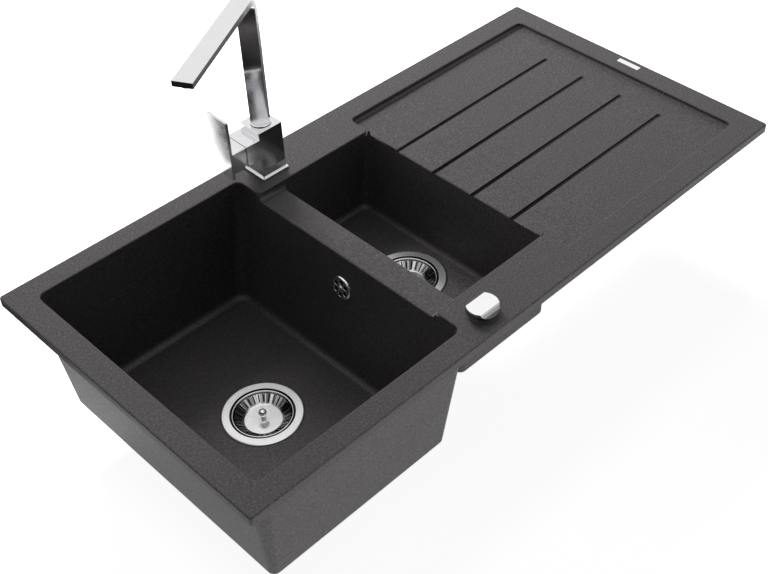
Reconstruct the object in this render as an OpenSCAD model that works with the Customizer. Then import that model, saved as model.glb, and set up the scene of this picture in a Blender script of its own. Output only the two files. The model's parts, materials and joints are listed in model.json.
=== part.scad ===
// Inset kitchen sink in granite composite: a main bowl, a half bowl and a ribbed
// drainer in one casting, with two basket wastes, an overflow, a pop-up control
// knob and a square single-lever tap with a flat swivel spout.
// Millimetres, +Z up. The origin is at the middle of the outline, level with the worktop.
// Places on the sink are measured from its left end, from its front edge and
// from the top of the rim.

/* [Sink outline] */
// Length of the sink, from the bowl end to the drainer end
sink_l = 1000; // [980:5:1100]
// Width of the sink, from front to back
sink_w = 500; // [490:5:540]
// Height of the rim above the worktop
rim_h = 14; // [11:0.5:16]
// Plan radius of the four outer corners
rim_corner_r = 5; // [4:0.5:15]
// Radius on the rim's top edge
rim_top_r = 2.5; // [1:0.25:4]
// Radius on the rim's lower edge
rim_low_r = 1.2; // [0.6:0.1:2]
// Radius on the upper edges of the bowls, the partition and the drainer
arris_r = 2.5; // [1:0.25:3]
// Width of the strip under the rim that rests on the worktop
seat_w = 12; // [8:0.5:13]
// How far the underside inside that strip stands clear of the worktop
seat_relief = 1.5; // [0.5:0.25:3]
// Thickness of the granite walls
wall_t = 10; // [8:0.5:12]

/* [Main bowl] */
// Rim at the left of the main bowl
main_x = 35; // [30:1:45]
// Rim in front of the main bowl
main_y = 34; // [30:1:45]
// Length of the main bowl's mouth
main_l = 329; // [300:1:340]
// Rim behind the main bowl
main_rim_back = 34; // [30:1:45]
// Depth of the main bowl
main_depth = 195; // [170:1:220]
// Plan radius of the mouth's corners
main_mouth_r = 11; // [8:1:16]
// Plan radius of the corners at the floor
main_floor_r = 20; // [16:1:30]
// Radius between the walls and the floor
main_fillet_r = 12; // [8:1:15]
// How far the left wall leans in
main_lean_left = 17.5; // [10:0.5:26]
// How far the right wall leans in
main_lean_right = 25.5; // [16:0.5:30]
// How far the front wall leans in
main_lean_front = 20; // [10:0.5:26]
// How far the back wall leans in
main_lean_back = 9; // [4:0.5:20]
// Plan radius of the outside's corners under the rim
shell_mouth_r = 19.5; // [14:0.5:24]
// Plan radius of the outside's corners at the floor
shell_floor_r = 10.5; // [8:0.5:20]
// Radius on the outside's lower edge
shell_edge_r = 4.5; // [3:0.5:7]
// How far the outside leans in on the left
shell_lean_left = 20; // [12:0.5:24]
// How far the outside leans in on the right
shell_lean_right = 27; // [16:0.5:28]
// How far the outside leans in at the front
shell_lean_front = 20.5; // [12:0.5:24]
// How far the outside leans in at the back
shell_lean_back = 11.5; // [4:0.5:16]

/* [Half bowl] */
// Width of the lowered partition between the bowls
partition_w = 40.5; // [38:0.5:50]
// Depth of the partition below the rim
partition_depth = 10; // [9:0.5:12]
// Radius at the foot of the partition's two steps
partition_fillet_r = 6; // [3:0.5:6]
// Length of the half bowl's mouth
half_l = 173.5; // [165:0.5:180]
// Rim in front of the half bowl
half_y = 79; // [76:1:90]
// Rim behind the half bowl
half_rim_back = 79; // [76:1:90]
// Depth of the half bowl
half_depth = 130; // [115:1:150]
// Plan radius of the half bowl's corners at the mouth
half_mouth_r = 10; // [8:1:14]
// Plan radius of the half bowl's corners at the floor
half_floor_r = 16; // [14:1:24]
// Radius between the half bowl's walls and floor
half_fillet_r = 10; // [7:1:13]
// How far the half bowl's left wall leans in
half_lean_left = 7; // [4:0.5:12]
// How far the half bowl's right wall leans in
half_lean_right = 19; // [10:0.5:22]
// How far the half bowl's front wall leans in
half_lean_front = 4; // [2:0.5:14]
// How far the half bowl's back wall leans in
half_lean_back = 3; // [2:0.5:14]

/* [Drainer] */
// Rim at the drainer end
drain_end_rim = 38; // [34:1:60]
// Rim in front of and behind the drainer
drain_side_rim = 39; // [34:1:50]
// Depth of the drainer beside the half bowl
drain_depth_low = 9.5; // [8:0.5:11]
// Depth of the drainer at its far end
drain_depth_end = 7.5; // [7:0.5:9]
// Plan radius of the drainer's far corners
drain_corner_r = 9; // [6:1:16]
// Radius at the foot of the drainer's edge
drain_fillet_r = 4; // [2:0.5:4]
// Radius of the ledge's corners above the bowls and the drainer
ledge_corner_r = 8; // [5:1:9]
// Number of grooves in the drainer
groove_count = 4; // [3:1:5]
// Distance from one groove to the next
groove_pitch = 75; // [60:1:78]
// Width of a groove
groove_w = 7; // [5:0.5:9]
// Depth of a groove
groove_depth = 3; // [2:0.25:4]
// Distance from the end of the grooves to the far edge of the drainer
groove_end = 44; // [36:1:100]

/* [Badge plate] */
// Width of the bare metal plate on the drainer end
badge_w = 9.5; // [8:0.5:14]
// Length of the plate
badge_l = 40.5; // [30:0.5:60]
// Thickness of the plate above the rim
badge_t = 0.6; // [0.4:0.1:1.5]
// Distance of the plate's middle from the drainer end
badge_inset = 14.5; // [12:0.5:20]

/* [Basket wastes] */
// Outer diameter of the waste flange
flange_d = 113; // [108:0.5:118]
// Thickness of the waste flange
flange_t = 1.2; // [1:0.1:2]
// Inner diameter of the flange's flat ring
flange_mouth_d = 89.4; // [88:0.2:92]
// Diameter of the hole in the bowl's floor
waste_hole_d = 92; // [91:0.5:96]
// Thickness of the dish's sheet metal
dish_t = 1.2; // [0.8:0.1:1.5]
// Depth of the dish below the bowl's floor
dish_depth = 26; // [22:0.5:32]
// Diameter of the dish's flat floor
dish_floor_d = 60; // [56:0.5:64]
// Diameter of the outlet in the dish's floor
dish_outlet_d = 48; // [44:0.5:50]
// Diameter over the basket's rim
basket_d = 85.4; // [83:0.2:87]
// Inner diameter of the basket's rim
basket_mouth_d = 81; // [78:0.5:82]
// Diameter of the basket's flat bottom
basket_bottom_d = 53.5; // [48:0.5:56]
// Depth of the basket's bottom below the bowl's floor
basket_depth = 11; // [9:0.5:14]
// Thickness of the basket's sheet metal
basket_t = 0.8; // [0.6:0.1:1]
// Number of slots in the basket's wall
basket_slots = 30; // [16:1:34]
// Width of a slot in the basket's wall
basket_slot_w = 2; // [1.4:0.1:2.6]
// Diameter of the basket's pull knob
pull_d = 12; // [9:0.5:15]
// How far the main waste sits to the right of the middle of its floor
main_waste_shift = 6.5; // [0:0.5:10]
// How far the half bowl's waste sits to the left of the middle of its floor
half_waste_shift = 1.25; // [0:0.25:3]
// How far both wastes sit behind the middle of the main bowl
waste_shift_y = 1; // [-3:0.5:3]
// Outer diameter of the outlet thread
outlet_d = 47.8; // [46:0.1:49]
// Bore of the outlet
outlet_bore_d = 40; // [36:0.5:42]
// Length of the outlet thread
outlet_l = 20; // [16:1:26]
// How far the knob lifts the main basket
lift_stroke = 6; // [4:0.5:8]

/* [Overflow] */
// Diameter of the overflow cover
overflow_d = 35; // [32:0.5:40]
// Number of petal openings in the cover
overflow_petals = 6; // [5:1:8]
// Diameter of the hole in the bowl's wall
overflow_hole_d = 27; // [25:0.5:29]
// How far the overflow sits in front of the middle of the main bowl
overflow_shift = 3; // [-10:0.5:10]
// Depth of the overflow's middle below the rim
overflow_depth = 61; // [50:1:80]
// Depth of the flat that is cut behind the overflow for its seal
overflow_seat_cut = 1; // [0.8:0.1:1.5]
// Outer diameter of the overflow hose spigots
spigot_d = 18; // [16:0.5:19]
// Bore of the overflow hose spigots
spigot_bore_d = 14; // [12:0.5:14.5]
// Length of the overflow hose spigots, from their collar to their end
spigot_l = 20; // [16:1:24]
// Width of the collar that stops the hose
spigot_lip = 1.5; // [1:0.25:2]

/* [Control knob] */
// How far the knob sits to the right of the half bowl's left edge
knob_shift = 1; // [-10:0.5:10]
// Distance of the knob from the front edge
knob_y = 36.5; // [35:0.5:42]
// Diameter of the knob
knob_d = 43.5; // [40:0.5:48]
// Height of the knob's top above the rim
knob_top = 14; // [12:0.5:18]
// Width of the grip left between the two finger hollows
knob_grip_w = 25.5; // [22:0.5:32]
// Depth of the finger hollows at the knob's edge
knob_hollow_depth = 7; // [3:0.25:9]
// Diameter of the knob's hole in the rim
knob_hole_d = 30; // [28:0.5:34]
// Diameter of the knob's spindle
spindle_d = 8; // [6:0.5:9]

/* [Tap body] */
// How far the tap sits to the right of the half bowl's left edge
tap_shift = 6; // [-2:0.5:12]
// Distance of the tap from the back edge
tap_back = 39.5; // [39:0.5:43]
// Width of the square tap body
tap_w = 41.5; // [40:0.5:46]
// Height of the tap body above the rim
tap_h = 80; // [76:1:90]
// Width of the square base plate
tap_base_w = 46.5; // [46.5:0.5:52]
// Thickness of the base plate
tap_base_t = 3; // [2:0.25:4]
// Width of the chamfer on the tap's edges
tap_chamfer = 0.8; // [0.4:0.1:1.4]
// Diameter of the tap hole in the sink
tap_hole_d = 35; // [34:0.5:36]
// Diameter of the threaded shank under the tap
shank_d = 30; // [28:0.5:32]
// Diameter of the two water inlets
inlet_d = 9; // [8:0.25:10]

/* [Tap spout] */
// Width of the flat spout
spout_w = 27; // [25:0.5:30]
// Thickness of the flat spout
spout_t = 8; // [7:0.25:10]
// Height of the spout's top face above the rim
spout_top = 277; // [240:1:300]
// Reach from the swivel axis to the tip
spout_reach = 206; // [180:1:230]
// Outer radius of the spout's bend
spout_bend_r = 19; // [16:0.5:34]
// Turn of the spout from straight along the sink, as the photo shows it
spout_turn = 30; // [10:1:60]
// Diameter of the aerator
aerator_d = 20; // [18:0.5:23]
// Distance of the aerator from the spout's tip
aerator_inset = 14.5; // [13:0.5:22]

/* [Tap lever] */
// Height of the hub's top above the rim
hub_top = 70; // [66:0.5:72]
// Height of the square hub
hub_h = 34; // [32:0.5:38]
// Length of the hub, out from the tap body
hub_l = 23.5; // [20:0.5:30]
// Length of the lever block
lever_block_l = 23; // [20:0.5:30]
// Gap between the hub and the lever block
lever_gap = 0.8; // [0.5:0.1:1.2]
// Height of the lever plate
lever_h = 95; // [80:1:110]
// Thickness of the lever plate
lever_t = 4; // [3:0.25:6]
// Height of the lever plate's top above the rim
lever_top = 123; // [110:1:130]
// Largest tilt of the lever
lever_tilt = 15; // [10:1:18]
// Diameter of the cartridge
cartridge_d = 26; // [24:0.5:28]

/* [Hidden] */

// One overrun for every cut
cut = 1;
// Radial clearance of a running fit
run_fit = 0.05;
// Gap between pieces that move past each other
move_gap = 0.3;
// Gap left under the baskets where they rest on their seats
seat_gap = 0.1;
// Fewest sides of a rounded corner inside a hull
soft_fn = 32;

// Places that follow from the bowls and the drainer
main_w = sink_w - main_y - main_rim_back;
half_x = main_x + main_l + partition_w;
half_w = sink_w - half_y - half_rim_back;
drain_x = half_x + half_l - half_mouth_r * 0.3;
drain_l = sink_l - drain_end_rim - drain_x;
drain_w = sink_w - 2 * drain_side_rim;
deck_t = wall_t * 0.9;
deck_low = rim_h - seat_relief;
main_waste_x = main_x + (main_l + main_lean_left - main_lean_right) / 2 + main_waste_shift;
half_waste_x = half_x + (half_l + half_lean_left - half_lean_right) / 2 - half_waste_shift;
waste_y = main_y + main_w / 2 + waste_shift_y;
overflow_y = main_y + main_w / 2 - overflow_shift;
knob_x = half_x + knob_shift;
tap_x = half_x + tap_shift;
tap_y = sink_w - tap_back;

// Moves a piece from the sink's own measures to the model's frame
module on_sink(x, y, depth) {
    translate([x - sink_l / 2, y - sink_w / 2, rim_h - depth])
        children();
}

// Rectangle with round corners, from its left front corner
module round_rect(l, w, r) {
    translate([r, 0])
        square([l - 2 * r, w]);
    translate([0, r])
        square([l, w - 2 * r]);
    for (x = [r, l - r], y = [r, w - r])
        translate([x, y])
            circle(r);
}

// Ring or disc, standing on its own plane
module ring(outer_r, inner_r, h) {
    difference() {
        cylinder(r = outer_r, h = h);
        translate([0, 0, -cut])
            cylinder(r = inner_r, h = h + 2 * cut);
    }
}

// Ring of round section that rounds an edge inside a hull
module edge_ring(r, edge_r) {
    rotate_extrude($fn = soft_fn)
        intersection() {
            translate([r - edge_r, 0])
                circle(edge_r, $fn = soft_fn);
            translate([0, -edge_r])
                square([r, 2 * edge_r]);
        }
}

// Places its child at the four corners of a rectangle, a radius in from its sides
module four_corners(x0, y0, x1, y1, r) {
    for (x = [x0 + r, x1 - r], y = [y0 + r, y1 - r])
        translate([x, y, 0])
            children();
}

// Bowl form: a mouth with straight corners that tapers to a rounded floor
module bowl_form(x, y, l, w, depth, leans, mouth_r, floor_r, fillet_r, top) {
    hull() {
        four_corners(x, y, x + l, y + w, mouth_r)
            translate([0, 0, -cut])
                cylinder(r = mouth_r, h = top + cut, $fn = soft_fn);
        translate([0, 0, fillet_r - depth])
            four_corners(x + leans[0], y + leans[2], x + l - leans[1], y + w - leans[3], floor_r)
                edge_ring(floor_r, fillet_r);
    }
}

// Rim slab with rounded edges, relieved underneath inside the strip that it rests on
module rim_slab() {
    difference() {
        hull() {
            translate([0, 0, -rim_top_r])
                four_corners(0, 0, sink_l, sink_w, rim_corner_r)
                    edge_ring(rim_corner_r, rim_top_r);
            translate([0, 0, rim_low_r - rim_h])
                four_corners(0, 0, sink_l, sink_w, rim_corner_r)
                    edge_ring(rim_corner_r, rim_low_r);
        }
        translate([seat_w, seat_w, -rim_h - cut])
            linear_extrude(seat_relief + cut)
                round_rect(sink_l - 2 * seat_w, sink_w - 2 * seat_w, rim_corner_r / 2);
    }
}

main_leans = [main_lean_left, main_lean_right, main_lean_front, main_lean_back];
half_leans = [half_lean_left, half_lean_right, half_lean_front, half_lean_back];
shell_leans = [shell_lean_left, shell_lean_right, shell_lean_front, shell_lean_back];

// Outside of the main bowl
module main_shell() {
    translate([0, 0, -rim_h / 2])
        bowl_form(main_x - wall_t, main_y - wall_t, main_l + 2 * wall_t, main_w + 2 * wall_t,
            main_depth + wall_t - rim_h / 2, shell_leans, shell_mouth_r, shell_floor_r, shell_edge_r, 0);
}

// Outside of the half bowl, a little thicker than the main bowl's
module half_shell() {
    translate([0, 0, -rim_h / 2])
        bowl_form(half_x - wall_t, half_y - wall_t, half_l + 2 * wall_t, half_w + 2 * wall_t,
            half_depth + wall_t - rim_h / 2, half_leans - [0, half_lean_right / 3, half_lean_front, 0],
            shell_mouth_r, shell_floor_r, shell_edge_r, 0);
}

// Underside of the lowered partition and of the drainer
module deck_slabs() {
    partition_low = partition_depth + deck_t;
    translate([main_x + main_l - wall_t, half_y - wall_t, -partition_low])
        linear_extrude(partition_low - rim_h / 2)
            square([partition_w + 2 * wall_t, half_w + 2 * wall_t]);
    drain_low = drain_depth_low + deck_t;
    translate([drain_x - wall_t, drain_side_rim - wall_t * 0.8, -drain_low])
        linear_extrude(drain_low - rim_h / 2)
            round_rect(drain_l + wall_t * 1.8, drain_w + wall_t * 1.6, drain_corner_r + wall_t * 0.8);
}

// Lowered top of the partition, with a fillet at the foot of each step
module partition_cut() {
    translate([main_x + main_l - main_lean_right, half_y, 0])
        rotate([90, 0, 90])
            linear_extrude(main_lean_right + partition_w + half_l / 2)
                difference() {
                    translate([0, -partition_depth])
                        square([half_w, partition_depth + cut]);
                    for (side = [0, 1])
                        translate([side * half_w, -partition_depth])
                            mirror([side, 0])
                                foot_fillet(partition_fillet_r);
                }
}

// Corner left standing at the foot of a step, hollowed to a fillet
module foot_fillet(r) {
    difference() {
        translate([-cut, -cut])
            square([r + cut, r + cut]);
        translate([r, r])
            circle(r);
    }
}

// Rounds the ledge's upright corners, seen from above
module ledge_corner_cut(depth) {
    translate([0, 0, -depth])
        linear_extrude(depth + cut)
            difference() {
                translate([-cut, -cut])
                    square([ledge_corner_r + cut, ledge_corner_r + cut]);
                translate([ledge_corner_r, ledge_corner_r])
                    circle(ledge_corner_r);
            }
}

// The four upright corners of the ledges in front of and behind the bowls
module ledge_corners() {
    for (side = [0, 1])
        translate([0, side == 0 ? half_y : half_y + half_w, 0])
            mirror([0, 1 - side, 0]) {
                translate([main_x + main_l, 0, 0])
                    ledge_corner_cut(partition_depth - partition_fillet_r);
                translate([drain_x, 0, 0])
                    mirror([1, 0, 0])
                        ledge_corner_cut(drain_depth_end);
            }
}

// Sunken drainer, which falls towards the half bowl
module drainer_cut() {
    hull()
        for (x = [0, 1], y = [0, 1])
            translate([x == 0 ? drain_x + drain_corner_r : drain_x + drain_l - drain_corner_r,
                y == 0 ? drain_side_rim + drain_corner_r : sink_w - drain_side_rim - drain_corner_r, 0]) {
                translate([0, 0, drain_fillet_r - (x == 0 ? drain_depth_low : drain_depth_end)])
                    edge_ring(drain_corner_r, drain_fillet_r);
                cylinder(r = drain_corner_r, h = cut, $fn = soft_fn);
            }
}

// Grooves that run off the drainer into the half bowl
module drainer_grooves() {
    fall = atan((drain_depth_low - drain_depth_end) / drain_l);
    start = half_x + half_l;
    groove_l = drain_x + drain_l - groove_end - start;
    for (i = [0 : groove_count - 1])
        translate([start, sink_w / 2 + (i - (groove_count - 1) / 2) * groove_pitch, -drain_depth_low])
            rotate([0, -fall, 0])
                translate([-half_lean_right, 0, -groove_depth])
                    linear_extrude(groove_depth + rim_h)
                        union() {
                            translate([0, -groove_w / 2])
                                square([groove_l + half_lean_right - groove_w / 2, groove_w]);
                            translate([groove_l + half_lean_right - groove_w / 2, 0])
                                circle(groove_w / 2);
                        }
}

// Lean of a bowl wall, which is tangent to the fillet at the floor
function wall_lean(lean, depth, fillet_r) =
    acos(fillet_r / norm([lean + fillet_r, depth - fillet_r - cut]))
    - atan((depth - fillet_r - cut) / (lean + fillet_r));

// Where the middle of the overflow meets the leaning right wall of the main bowl
overflow_lean = wall_lean(main_lean_right, main_depth, main_fillet_r);
overflow_x = main_x + main_l - (overflow_depth - cut) * tan(overflow_lean);
shell_lean = wall_lean(shell_lean_right, main_depth + wall_t - rim_h / 2, shell_edge_r);
shell_x = main_x + main_l + wall_t - (overflow_depth - rim_h / 2 - cut) * tan(shell_lean);
overflow_wall_t = (shell_x - overflow_x) * cos(overflow_lean) - overflow_seat_cut;

// Places a piece on the overflow's own axis, which points into the bowl
module at_overflow() {
    on_sink(overflow_x, overflow_y, overflow_depth)
        rotate([0, -90 + overflow_lean, 0])
            children();
}

// Lean of the arrises, a little over the largest lean of the walls that they run into
arris_lean = 1.15 * max(overflow_lean, wall_lean(half_lean_right, half_depth, half_fillet_r));
// Share of a corner's radius that an arris takes for its own bend, so that its ends miss the corner's seams
arris_bend = 1.06;

// What an arris takes off: X runs out from the opening and Y up from the edge.
// Its round is tangent to the top and all but tangent to the walls
module arris_profile() {
    centre_x = arris_r * (1 - sin(arris_lean)) / cos(arris_lean);
    foot_x = centre_x - arris_r * cos(arris_lean);
    foot_y = arris_r * (sin(arris_lean) - 1);
    difference() {
        polygon([
            [-cut, cut],
            [centre_x, cut],
            [centre_x, -arris_r],
            [foot_x, foot_y],
            [-cut, foot_y]
        ]);
        translate([centre_x, -arris_r])
            circle(arris_r);
    }
}

// Rounds a straight edge, which has the opening on the left of the way along it
module straight_arris(start, end) {
    way = end - start;
    translate([start[0], start[1], 0])
        rotate([0, 0, atan2(way[1], way[0])])
            rotate([90, 0, 90])
                linear_extrude(norm(way))
                    mirror([1, 0])
                        arris_profile();
}

// Rounds the edge along a square-cornered outline, with the opening on its left.
// A corner is its place and its radius
module outline_arris(corners) {
    count = len(corners);
    place = [for (corner = corners) [corner[0], corner[1]]];
    for (i = [0 : count - 1]) {
        next = (i + 1) % count;
        after = (i + 2) % count;
        along = (place[next] - place[i]) / norm(place[next] - place[i]);
        onward = (place[after] - place[next]) / norm(place[after] - place[next]);
        turn = cross(along, onward);
        bend_r = arris_bend * corners[next][2];
        bend_start = place[next] - along * bend_r;
        straight_arris(place[i] + along * arris_bend * corners[i][2], bend_start);
        centre = bend_start + [-along[1], along[0]] * turn * bend_r;
        translate([centre[0], centre[1], 0])
            rotate([0, 0, atan2(along[1], along[0]) - (turn > 0 ? 90 : 0)])
                rotate_extrude(angle = 90)
                    translate([bend_r, 0])
                        mirror([turn > 0 ? 0 : 1, 0])
                            arris_profile();
    }
}

// Rounds the rim's inner edge, which runs round both bowls and the drainer, and
// the edges that lie deeper: both sides of the partition and the drainer's lip
module mouth_arrises() {
    main_end = main_x + main_l;
    half_end = half_x + half_l;
    drain_end = drain_x + drain_l;
    main_back = main_y + main_w;
    half_back = half_y + half_w;
    drain_back = sink_w - drain_side_rim;
    outline_arris([
        [main_x, main_y, main_mouth_r],
        [main_end, main_y, main_mouth_r],
        [main_end, half_y, ledge_corner_r],
        [drain_x, half_y, ledge_corner_r],
        [drain_x, drain_side_rim, drain_corner_r],
        [drain_end, drain_side_rim, drain_corner_r],
        [drain_end, drain_back, drain_corner_r],
        [drain_x, drain_back, drain_corner_r],
        [drain_x, half_back, ledge_corner_r],
        [main_end, half_back, ledge_corner_r],
        [main_end, main_back, main_mouth_r],
        [main_x, main_back, main_mouth_r]
    ]);
    ridge_left = main_end - (partition_depth - cut) * tan(overflow_lean);
    ridge_right = half_x + (partition_depth - cut) * tan(wall_lean(half_lean_left, half_depth, half_fillet_r));
    lip = half_end - (drain_depth_low - cut) * tan(wall_lean(half_lean_right, half_depth, half_fillet_r));
    ridge_end = arris_bend * partition_fillet_r;
    bowl_end = arris_bend * half_mouth_r;
    translate([0, 0, -partition_depth]) {
        straight_arris([ridge_left, half_y + ridge_end], [ridge_left, half_back - ridge_end]);
        straight_arris([ridge_right, half_back - bowl_end], [ridge_right, half_y + bowl_end]);
    }
    translate([0, 0, -drain_depth_low])
        straight_arris([lip, half_y + bowl_end], [lip, half_back - bowl_end]);
}

module sink_body() {
    color([0.33, 0.32, 0.32])
        difference() {
            on_sink(0, 0, 0)
                difference() {
                    union() {
                        rim_slab();
                        main_shell();
                        half_shell();
                        deck_slabs();
                    }
                    bowl_form(main_x, main_y, main_l, main_w, main_depth, main_leans,
                        main_mouth_r, main_floor_r, main_fillet_r, cut);
                    bowl_form(half_x, half_y, half_l, half_w, half_depth, half_leans,
                        half_mouth_r, half_floor_r, half_fillet_r, cut);
                    partition_cut();
                    ledge_corners();
                    drainer_cut();
                    drainer_grooves();
                    mouth_arrises();
                }
            for (waste = [[main_waste_x, main_depth], [half_waste_x, half_depth]])
                on_sink(waste[0], waste_y, waste[1] + 2 * wall_t)
                    cylinder(d = waste_hole_d, h = 3 * wall_t);
            on_sink(knob_x, knob_y, 2 * rim_h)
                cylinder(d = knob_hole_d, h = 3 * rim_h);
            on_sink(tap_x, tap_y, 2 * rim_h)
                cylinder(d = tap_hole_d, h = 3 * rim_h);
            at_overflow() {
                translate([0, 0, -2 * wall_t])
                    cylinder(d = overflow_hole_d, h = 3 * wall_t);
                translate([0, 0, -overflow_wall_t - wall_t])
                    cylinder(d = overflow_d + 2 * overflow_seat_cut, h = wall_t);
            }
        }
}

module badge_plate() {
    color([0.75, 0.75, 0.76])
        on_sink(sink_l - badge_inset - badge_w / 2, (sink_w - badge_l) / 2, 0)
            linear_extrude(badge_t)
                round_rect(badge_w, badge_l, badge_w / 12);
}

// Sizes inside a waste, measured from the bowl's floor
flange_seal_t = 0.6;
cup_seal_t = 2;
cup_flange_t = 3;
cup_wall_t = 2.6;
boss_r = 8;
basket_seal_t = 2;
basket_seal_r = (dish_outlet_d + dish_floor_d) / 4;
dish_step = 2;
outlet_top = dish_depth + flange_mouth_d / 4;
clamp_screw_r = 5;
clamp_head_r = 6.4;
clamp_head_h = 2;
clamp_head_z = dish_t - dish_depth - move_gap - clamp_head_h;
gland_z = -dish_depth - (outlet_top - dish_depth) * 0.6;
lifter_r = 2.5;
spider_arm_w = 5;
spider_arm_h = 4;

// Places a piece on the axis of a waste, at the bowl's floor
module at_waste(x, depth) {
    on_sink(x, waste_y, depth)
        children();
}

module at_main_waste() {
    at_waste(main_waste_x, main_depth)
        children();
}

module at_half_waste() {
    at_waste(half_waste_x, half_depth)
        children();
}

// Three arms that carry a boss across a round opening
module spider(r, hole_r) {
    difference() {
        union() {
            for (turn = [0 : 2])
                rotate(turn * 360 / 3)
                    translate([0, -spider_arm_w / 2, 0])
                        cube([r, spider_arm_w, spider_arm_h]);
            cylinder(r = boss_r, h = spider_arm_h);
        }
        translate([0, 0, -cut])
            cylinder(r = hole_r, h = spider_arm_h + 2 * cut);
    }
}

// Pressed dish with a flat ring round its mouth, a step that carries the basket,
// a conical wall and an outlet crossed by three arms
module waste_flange(screw_r) {
    lip_z = flange_seal_t + flange_t;
    mouth_r = flange_mouth_d / 2;
    step_r = basket_d / 2 - dish_step;
    color([0.8, 0.8, 0.81]) {
        rotate_extrude()
            polygon([
                [flange_d / 2, flange_seal_t],
                [flange_d / 2, flange_seal_t + flange_t / 3],
                [flange_d / 2 - flange_t, lip_z],
                [mouth_r, lip_z],
                [mouth_r, dish_t - dish_step],
                [step_r, dish_t - dish_step],
                [dish_floor_d / 2, dish_t - dish_depth],
                [dish_outlet_d / 2, dish_t - dish_depth],
                [dish_outlet_d / 2, -dish_depth],
                [dish_floor_d / 2 + dish_t, -dish_depth],
                [step_r + dish_t, -dish_step],
                [mouth_r + dish_t / 2, -dish_step],
                [mouth_r + dish_t / 2, flange_seal_t]
            ]);
        difference() {
            translate([0, 0, -dish_depth - spider_arm_h + dish_t / 2])
                intersection() {
                    spider(dish_outlet_d / 2 + dish_t, screw_r + run_fit);
                    cylinder(r = dish_outlet_d / 2 + dish_t / 2, h = spider_arm_h);
                }
            translate([0, 0, clamp_head_z])
                cylinder(r = clamp_head_r + run_fit, h = 2 * clamp_head_h);
        }
    }
}

module waste_flange_seal() {
    color([0.12, 0.12, 0.12])
        ring(flange_d / 2 - flange_t, waste_hole_d / 2, flange_seal_t);
}

module waste_cup_seal() {
    color([0.12, 0.12, 0.12])
        translate([0, 0, -wall_t - cup_seal_t])
            ring(flange_d / 2 - flange_t, waste_hole_d / 2, cup_seal_t);
}

// Outside of the moulded cup under the floor, with its outlet thread
module cup_outside() {
    top_z = -wall_t - cup_seal_t;
    wide_r = waste_hole_d / 2 + cup_wall_t / 2;
    rotate_extrude()
        polygon([
            [0, top_z],
            [flange_d / 2 - flange_t, top_z],
            [flange_d / 2 - flange_t, top_z - cup_flange_t],
            [wide_r, top_z - cup_flange_t],
            [wide_r, -dish_depth],
            [outlet_d / 2, -outlet_top],
            [outlet_d / 2, -outlet_top - outlet_l],
            [0, -outlet_top - outlet_l]
        ]);
}

// Hollow of the cup, from its mouth down through the outlet
module cup_hollow() {
    wide_r = waste_hole_d / 2 - cup_wall_t / 2;
    bore_r = outlet_bore_d / 2;
    rotate_extrude()
        polygon([
            [0, cut - wall_t - cup_seal_t],
            [wide_r, cut - wall_t - cup_seal_t],
            [wide_r, -dish_depth],
            [bore_r, -outlet_top],
            [bore_r, -outlet_top - outlet_l - cut],
            [0, -outlet_top - outlet_l - cut]
        ]);
}

// Arms in the cup's outlet, which take the clamp screw
module cup_spider() {
    translate([0, 0, -outlet_top])
        intersection() {
            spider(outlet_bore_d / 2 + cup_wall_t, clamp_screw_r + run_fit);
            cylinder(r = outlet_bore_d / 2 + cup_wall_t / 2, h = spider_arm_h);
        }
}

// Screw that draws the dish and the cup together
module clamp_screw(r, bore_r) {
    color([0.78, 0.78, 0.78])
        difference() {
            union() {
                translate([0, 0, clamp_head_z])
                    cylinder(r = clamp_head_r, h = clamp_head_h);
                translate([0, 0, -outlet_top - spider_arm_h / 2])
                    cylinder(r = r, h = outlet_top + spider_arm_h / 2 + clamp_head_z + clamp_head_h / 2);
            }
            if (bore_r > 0)
                translate([0, 0, -outlet_top - spider_arm_h])
                    cylinder(r = bore_r, h = outlet_top + 2 * spider_arm_h);
            if (bore_r == 0)
                translate([0, 0, clamp_head_z + clamp_head_h / 4])
                    cylinder(r = r / 2, h = clamp_head_h, $fn = 6);
        }
}

// Basket with a rolled rim, a slotted conical wall and a flat bottom
module waste_basket() {
    rim_r = (basket_d - basket_mouth_d) / 4;
    rim_z = dish_t - dish_step + rim_r + seat_gap;
    wall_r = basket_mouth_d / 2;
    bottom_r = basket_bottom_d / 2;
    stem_z = dish_t - dish_depth + seat_gap + basket_seal_t;
    color([0.82, 0.82, 0.83]) {
        rotate_extrude()
            translate([(basket_d + basket_mouth_d) / 4, rim_z])
                circle(rim_r);
        difference() {
            rotate_extrude()
                polygon([
                    [wall_r + rim_r / 2, rim_z + basket_t / 2],
                    [wall_r + rim_r / 2, rim_z - basket_t / 2],
                    [bottom_r + basket_t, -basket_depth],
                    [bottom_r - basket_t, -basket_depth - basket_t],
                    [0, -basket_depth - basket_t],
                    [0, -basket_depth],
                    [bottom_r - basket_t, -basket_depth]
                ]);
            for (i = [0 : basket_slots - 1])
                rotate(i * 360 / basket_slots)
                    translate([bottom_r + 3 * basket_t, -basket_slot_w / 2, -basket_depth - cut])
                        cube([wall_r - bottom_r - 6 * basket_t, basket_slot_w, basket_depth + 2 * cut]);
        }
        translate([0, 0, stem_z])
            cylinder(r = boss_r * 0.75, h = -stem_z - basket_depth - basket_t / 2);
    }
}

// Rubber disc under the basket, which closes the outlet
module waste_basket_seal() {
    color([0.1, 0.1, 0.1])
        translate([0, 0, dish_t - dish_depth + seat_gap])
            cylinder(r = basket_seal_r, h = basket_seal_t);
}

// Pull knob that stands in the middle of the basket
module waste_basket_pull() {
    neck_r = pull_d / 5;
    ball_z = pull_d * 0.25;
    color([0.82, 0.82, 0.83]) {
        translate([0, 0, -basket_depth])
            cylinder(r1 = neck_r * 1.6, r2 = neck_r, h = basket_depth + ball_z);
        translate([0, 0, ball_z - pull_d * 0.08])
            sphere(d = pull_d);
    }
}

module main_flange() {
    at_main_waste()
        waste_flange(clamp_screw_r);
}

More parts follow.
